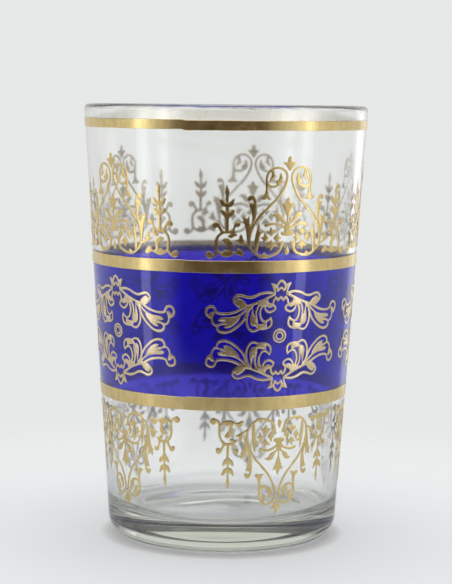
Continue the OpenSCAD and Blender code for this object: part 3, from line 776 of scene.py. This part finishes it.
def wholeField(drawn):
    # half or a quarter is drawn, and mirrored
    step, h, margin = ornament["grid"], drawn["height"], ornament["margin"]
    quarter = "ring" in drawn
    xs = np.arange(0, drawn["reach"] * h + margin, step)
    ys = np.arange(0 if quarter else -margin, (0.5 * h if quarter else h) + margin, step)
    field = inkField(drawn, xs, ys)
    field = np.hstack([field[:, :0:-1], field])
    xs = np.concatenate([-xs[:0:-1], xs])
    if quarter:
        field = np.vstack([field[:0:-1], field])
        ys = np.concatenate([-ys[:0:-1], ys])
    return xs, ys, field


def edgeLoops(xs, ys, field, shortest=9):
    # the closed edges of the ink, with the ink on the left
    inside = field < 0
    code = inside[:-1, :-1] * 1 + inside[:-1, 1:] * 2 + inside[1:, 1:] * 4 + inside[1:, :-1] * 8
    # sides of a cell: 0 low, 1 right, 2 top, 3 left
    runs = {1: [(3, 0)], 2: [(0, 1)], 3: [(3, 1)], 4: [(1, 2)], 5: [(3, 0), (1, 2)], 6: [(0, 2)],
            7: [(3, 2)], 8: [(2, 3)], 9: [(2, 0)], 10: [(0, 1), (2, 3)], 11: [(2, 1)], 12: [(1, 3)],
            13: [(1, 0)], 14: [(0, 3)]}
    after = {}

    def side(i, j, s):
        return (j + (s == 2), i, 0) if s in (0, 2) else (j, i + (s == 1), 1)

    for j, i in zip(*np.nonzero((code > 0) & (code < 15))):
        for a, b in runs[int(code[j, i])]:
            after[side(i, j, b)] = side(i, j, a)

    def spot(key):
        j, i, upright = key
        a = field[j, i]
        b = field[j + 1, i] if upright else field[j, i + 1]
        t = a / (a - b)
        if upright:
            return xs[i], ys[j] + t * (ys[j + 1] - ys[j])
        return xs[i] + t * (xs[i + 1] - xs[i]), ys[j]

    loops = []
    while after:
        first, key = after.popitem()
        loop = [first]
        while key != first:
            loop.append(key)
            key = after.pop(key)
        if len(loop) >= shortest:
            loops.append(np.array([spot(k) for k in loop]))
    return loops


def thinOut(loop, keep, furthest=8):
    # drops points along nearly straight runs
    out, i, n = [], 0, len(loop)
    while i < n:
        out.append(loop[i])
        best = 1
        for far in range(2, furthest + 1):
            if i + far > n:
                break
            a, b = loop[i], loop[(i + far) % n]
            d = b - a
            m = loop[i + 1:i + far] - a
            if np.abs(m[:, 0] * d[1] - m[:, 1] * d[0]).max() / (np.hypot(*d) + tiny) > keep:
                break
            best = far
        i += best
    return np.array(out)


def softNoise(seed, count, low, high):
    rng = np.random.default_rng(seed)
    way = rng.uniform(0, fullTurn, count)
    size = fullTurn / rng.uniform(low, high, count)
    phase = rng.uniform(0, fullTurn, count)
    return lambda x, y: sum(
        np.sin(k * (math.cos(w) * x + math.sin(w) * y) + p)
        for w, k, p in zip(way, size, phase)) / math.sqrt(count)


def sample(xs, ys, field, points):
    u = np.clip((points[:, 0] - xs[0]) / (xs[1] - xs[0]), 0, len(xs) - 1.001)
    v = np.clip((points[:, 1] - ys[0]) / (ys[1] - ys[0]), 0, len(ys) - 1.001)
    i, j = u.astype(int), v.astype(int)
    u, v = u - i, v - j
    return ((field[j, i] * (1 - u) + field[j, i + 1] * u) * (1 - v)
            + (field[j + 1, i] * (1 - u) + field[j + 1, i + 1] * u) * v)


def inkPatch(fieldSet, seed, shortest=6):
    # points, triangles and how deep each point lies inside the ink
    xs, ys, clean = fieldSet
    o = ornament
    field = clean - o["inkRun"] + o["unevenInk"] * softNoise(seed, *o["inkNoise"])(*np.meshgrid(xs, ys))
    loops = [thinOut(l, o["keep"]) for l in edgeLoops(xs, ys, field)]
    points, edges = [], []
    for l in loops:
        if len(l) < shortest:
            continue
        first = len(points)
        points += [tuple(p) for p in l]
        edges += [(first + k, first + (k + 1) % len(l)) for k in range(len(l))]
    step = o["bedStep"]
    bx, by = np.meshgrid(np.arange(xs[0], xs[-1], step), np.arange(ys[0], ys[-1], step))
    bx = bx + (np.arange(bx.shape[0]) % 2)[:, None] * step / 2
    bed = np.stack([bx.ravel(), by.ravel()], 1)
    bed = bed[sample(xs, ys, field, bed) < -o["bedDepth"]]
    points += [tuple(p) for p in bed]
    verts, _, faces, *_ = delaunay_2d_cdt([Vector(p) for p in points], edges, [], 1, 1e-6)
    flat = np.array([tuple(v) for v in verts])
    tri = np.array(faces)
    tri = tri[sample(xs, ys, field, flat[tri].mean(1)) < 0]
    a, b, c = flat[tri[:, 0]], flat[tri[:, 1]], flat[tri[:, 2]]
    area = (b[:, 0] - a[:, 0]) * (c[:, 1] - a[:, 1]) - (b[:, 1] - a[:, 1]) * (c[:, 0] - a[:, 0])
    tri[area < 0] = tri[area < 0][:, ::-1]
    used = np.unique(tri)
    remap = np.full(len(flat), -1)
    remap[used] = np.arange(len(used))
    flat, tri = flat[used], remap[tri]
    return flat, tri, np.clip(-sample(xs, ys, field, flat), 0, None)


def openSides(tri):
    # the sides that only one triangle has
    sides = {}
    for t in tri:
        for k in range(3):
            a, b = int(t[k]), int(t[(k + 1) % 3])
            if sides.pop((b, a), None) is None:
                sides[(a, b)] = True
    return list(sides)


def makeMotif(name, row, turn, rise, seed):
    drawn = drawings[row["drawn"]]
    flat, tri, depth = inkPatch(fields[row["drawn"]], seed)
    o = ornament
    shiftX, shiftY = (softNoise(seed + more, *o["wobbleNoise"]) for more in (50, 80))
    x = flat[:, 0] + o["wobble"] * shiftX(*flat.T)
    y = flat[:, 1] + o["wobble"] * shiftY(*flat.T)
    angle = math.radians(turn) + x / (drawn["reach"] * drawn["height"]) * math.radians(row["halfTurn"])
    behind = (1 - np.cos(angle - math.radians(o["level"]))) / 2
    angle = angle - math.radians(row["backTurn"]) * behind
    z = row["base"] + row["rise"] * y + row["backRise"] * behind + rise
    if row["rise"] < 0:
        tri = tri[:, ::-1]
    lift = row["over"] - o["crown"] + o["crown"] * np.clip(depth / o["crownDepth"], 0, 1)
    top, under = onWall(angle, z, lift), onWall(angle, z, np.full_like(lift, row["under"]))
    n = len(flat)
    sides = openSides(tri)
    verts = np.concatenate([top, under])
    faces = [tuple(int(v) for v in t) for t in tri]
    faces += [tuple(int(v) + n for v in t[::-1]) for t in tri]
    faces += [(a, a + n, b + n, b) for a, b in sides]
    slots = [0] * len(tri) + [1] * len(tri) + [0] * len(sides)
    # normals follow the cone, and lean outward at the edge of the ink
    out = wallNormal(angle)
    outward = np.zeros_like(out)
    for a, b in sides:
        w = np.cross(top[b] - top[a], out[a])
        w /= np.linalg.norm(w) + tiny
        outward[a] += w
        outward[b] += w
    size = np.linalg.norm(outward, axis=1, keepdims=True)
    edge = np.where(size > 0, outward / np.maximum(size, tiny), 0)
    face = out + o["edgeLean"] * edge
    face /= np.linalg.norm(face, axis=1, keepdims=True)
    normals = [face[v] for t in tri for v in t] + [-out[v] for t in tri for v in t[::-1]]
    for a, b in sides:
        normals += [edge[a], edge[a], edge[b], edge[b]]
    return addPiece(name, verts, faces, [finish[row["outer"]], finish[row["inner"]]], slots, normals)


fields = {name: wholeField(d) for name, d in drawings.items()}
print("ornament drawn:", ", ".join(fields))
pitch = (360 - ornament["closingGap"]) / ornament["count"]
for r, (name, row) in enumerate(ornament["rows"].items()):
    for i in range(ornament["count"]):
        last = i == ornament["count"] - 1
        aside, rise = row["last"] if last and "last" in row else (0, 0)
        turn = row["angle"] + i * pitch + aside
        piece = makeMotif(f"{name}{i + 1}", row, turn, rise, 100 * r + 7 * i + 3)
        seat(piece, f"{row['node']}{i + 1}")
    print(name, "row laid on the wall")


# Studio

studio = {
    "paper": (0.795, 0.812, 0.806, 1),  # the pale background
    "paperHigh": (0.73, 0.745, 0.70, 1),  # further up it is dimmer, which the base bends into view
    "paperTop": (0.10, 0.26),
    "darkRoom": (0.022, 0.026, 0.036, 1),  # past its sides, the dark that the thick base shows
    "paperSides": (0.85, 0.6),
    "paperFront": (0.25, -0.05),  # where the paper gives way to the light in front
    "soft": 1.05,  # level of the light from all round
    "sideLevel": 0.75,  # what gold mirrors at the sides
    "darkFront": (0.046, 0.022, 0.003, 1),  # and in front, where the room is dark
    "highLevel": 1.2,  # and above the dark
    "darkWay": -3.0,
    "darkEdges": (0.57, 0.84),
    "darkTop": (0.03, 0.09),  # the dark ends a little above the horizon
}
floorPaper = {
    "colour": (0.77, 0.785, 0.787, 1),
    "cloud": (0.75, 0.765, 0.767, 1),
    "paintedPool": (0.95, 0.955, 0.945, 1),  # painted light: a pale pool on the paper under the base, in place of the light the glass gathers there
    "paintedPoolEdge": (19.5, 21.5),
    "paintedHeelShadow": (0.6, 0.6, 0.585, 1),  # and a shadow line painted on the paper round the heel
    "paintedHeelShadowEdges": (20.5, 22.5, 23.5, 26.0),
    "rings": (40.0, 90.0, 200.0, 400.0, 620.0),
    "around": 128,
    "z": -0.02,
    "fade": (200.0, 420.0),
    "seenFade": (45.0, 150.0),  # where the camera sees it, it runs into the background sooner
    "frontEdge": (-102.0, -172.0),  # the paper ends here in front, as gold and glass mirror it
}
lamps = {
    "far": 165.0,  # tall boxes at the sides, only for the long highlights on glass and gold
    "tall": 300.0,
    "z": 152.0,
    "boxes": {
        "leftBox": {"angle": -66.5, "wide": 26.0, "level": 1.33},
        "rightBox": {"angle": 64.5, "wide": 28.0, "level": 1.27},
        "edgeBox": {"angle": 140.0, "wide": 50.0, "level": 0.42},
    },
    "top": {"place": (0, 60, 700.0), "wide": 700.0, "level": 0.5},
}
camera = {
    "lens": 115.946,
    "sensor": 36.0,
    "place": (0.385, -390.0, 90.9),
    "down": 5.9071,  # degrees below level
    "roll": 0.644,
}


def makeFloor():
    p = floorPaper
    n, rings = p["around"], p["rings"]
    angle = np.linspace(0, fullTurn, n, endpoint=False)
    verts = [(0, 0, p["z"])] + [(r * math.sin(a), -r * math.cos(a), p["z"]) for r in rings for a in angle]
    faces = [(0, 1 + j, 1 + (j + 1) % n) for j in range(n)]
    for k in range(len(rings) - 1):
        for j in range(n):
            h = (j + 1) % n
            faces.append((1 + k * n + j, 1 + (k + 1) * n + j, 1 + (k + 1) * n + h, 1 + k * n + h))
    mat, tree, shader = newMaterial("palePaper")
    shader.inputs["Roughness"].default_value = 0.9
    shader.inputs["Specular IOR Level"].default_value = 0.2
    tint = addNode(tree, "Group", {"Main": p["colour"], "Cloud": p["cloud"], "Cloud Scale": 9.0,
                                   "Grain Scale": 300.0, "Amount": 0.4}, node_tree=mottle)
    place = addNode(tree, "TexCoord").outputs["Object"]
    away = vectorNode(tree, "LENGTH", place)
    path = addNode(tree, "LightPath").outputs

    def beyond(edges, value=away):
        return easeNode(tree, value, inMetres(edges))

    # painted light: the paper is painted paler under the base, inside the pool's edge
    colour = mixColour(tree, beyond(p["paintedPoolEdge"]), p["paintedPool"], tint.outputs["Colour"])
    # painted shadow: a darker ring in the paper's colour round the heel, between the inner and outer edges
    inner, outer = p["paintedHeelShadowEdges"][:2], p["paintedHeelShadowEdges"][2:]
    paintedShadowRing = mathNode(tree, "SUBTRACT", beyond(inner), beyond(outer))
    tree.links.new(mixColour(tree, paintedShadowRing, colour, p["paintedHeelShadow"]), shader.inputs["Base Color"])
    inFront = beyond(p["frontEdge"], addNode(tree, "SeparateXYZ", (place,)).outputs["Y"])
    mirrored = mathNode(tree, "MULTIPLY", inFront, path["Is Glossy Ray"])
    seen = mathNode(tree, "MAXIMUM", path["Is Camera Ray"], path["Is Transmission Ray"])
    sooner = mathNode(tree, "MULTIPLY", beyond(p["seenFade"]), seen)
    gone = mathNode(tree, "MAXIMUM", mathNode(tree, "MAXIMUM", mirrored, beyond(p["fade"])), sooner)
    clearWhere(tree, shader, gone, (1, 1, 1, 1))
    addPiece("paleFloor", verts, faces, [mat])


def makeWorld():
    s = studio
    world = bpy.data.worlds.new("paleStudio")
    scene.world = world
    world.use_nodes = True
    tree = world.node_tree
    tree.nodes.clear()
    path = addNode(tree, "LightPath").outputs
    place = addNode(tree, "TexCoord").outputs["Generated"]
    parts = addNode(tree, "SeparateXYZ", (place,)).outputs
    way = math.radians(s["darkWay"])
    front = vectorNode(tree, "DOT_PRODUCT", place, (math.sin(way), -math.cos(way), 0))
    low = easeNode(tree, parts["Z"], s["darkTop"], (1.0, 0.0))
    dark = mathNode(tree, "MULTIPLY", easeNode(tree, front, s["darkEdges"]), low)
    toFront = easeNode(tree, parts["Y"], s["paperFront"])
    high, side, soft = ((v, v, v, 1) for v in (s["highLevel"], s["sideLevel"], s["soft"]))
    behind = mixColour(tree, easeNode(tree, parts["Z"], s["paperTop"]), s["paper"], s["paperHigh"])
    behind = mixColour(tree, easeNode(tree, parts["Y"], s["paperSides"]), behind, s["darkRoom"])
    around = mixColour(tree, low, mixColour(tree, toFront, behind, high), side)
    mirrored = mixColour(tree, dark, around, s["darkFront"])
    through = mixColour(tree, toFront, behind, soft)
    straight = mixColour(tree, path["Is Transmission Ray"], soft, through)
    bounced = mathNode(tree, "GREATER_THAN", path["Glossy Depth"], 0.5)
    lit = mixColour(tree, bounced, straight, mirrored)
    shown = mixColour(tree, path["Is Camera Ray"], lit, s["paper"])
    light = addNode(tree, "Background", {"Color": shown})
    addNode(tree, "OutputWorld", {"Surface": light.outputs["Background"]})


def areaLight(name, place, aim, wide, tall, level):
    lamp = bpy.data.lights.new(name, "AREA")
    lamp.shape = "RECTANGLE"
    lamp.size, lamp.size_y = wide * metre, tall * metre
    lamp.energy = level * math.pi * lamp.size * lamp.size_y  # level is the brightness of its face
    holder = bpy.data.objects.new(name, lamp)
    scene.collection.objects.link(holder)
    holder.location = Vector(place) * metre
    holder.rotation_euler = (Vector(aim) - Vector(place)).to_track_quat("-Z", "Y").to_euler()
    holder.visible_camera = False
    return holder


def makeLights():
    far, z = lamps["far"], lamps["z"]
    for name, b in lamps["boxes"].items():
        a = math.radians(b["angle"])
        place = (far * math.sin(a), -far * math.cos(a), z)
        box = areaLight(name, place, (0, 0, z), b["wide"], lamps["tall"], b["level"])
        box.visible_diffuse = False
    top = lamps["top"]
    areaLight("topBox", top["place"], (0, 0, 0), top["wide"], top["wide"], top["level"])


def makeCamera():
    cam = bpy.data.cameras.new("photoCamera")
    cam.lens = camera["lens"]
    cam.sensor_width = camera["sensor"]
    cam.clip_start, cam.clip_end = 0.01, 50.0
    holder = bpy.data.objects.new("photoCamera", cam)
    scene.collection.objects.link(holder)
    holder.location = inMetres(camera["place"])
    pitch, roll = math.radians(90 - camera["down"]), math.radians(camera["roll"])
    tilt = Matrix.Rotation(pitch, 3, "X") @ Matrix.Rotation(roll, 3, "Z")
    holder.rotation_euler = tilt.to_euler()
    scene.camera = holder


makeFloor()
makeWorld()
makeLights()
makeCamera()
print("studio set")
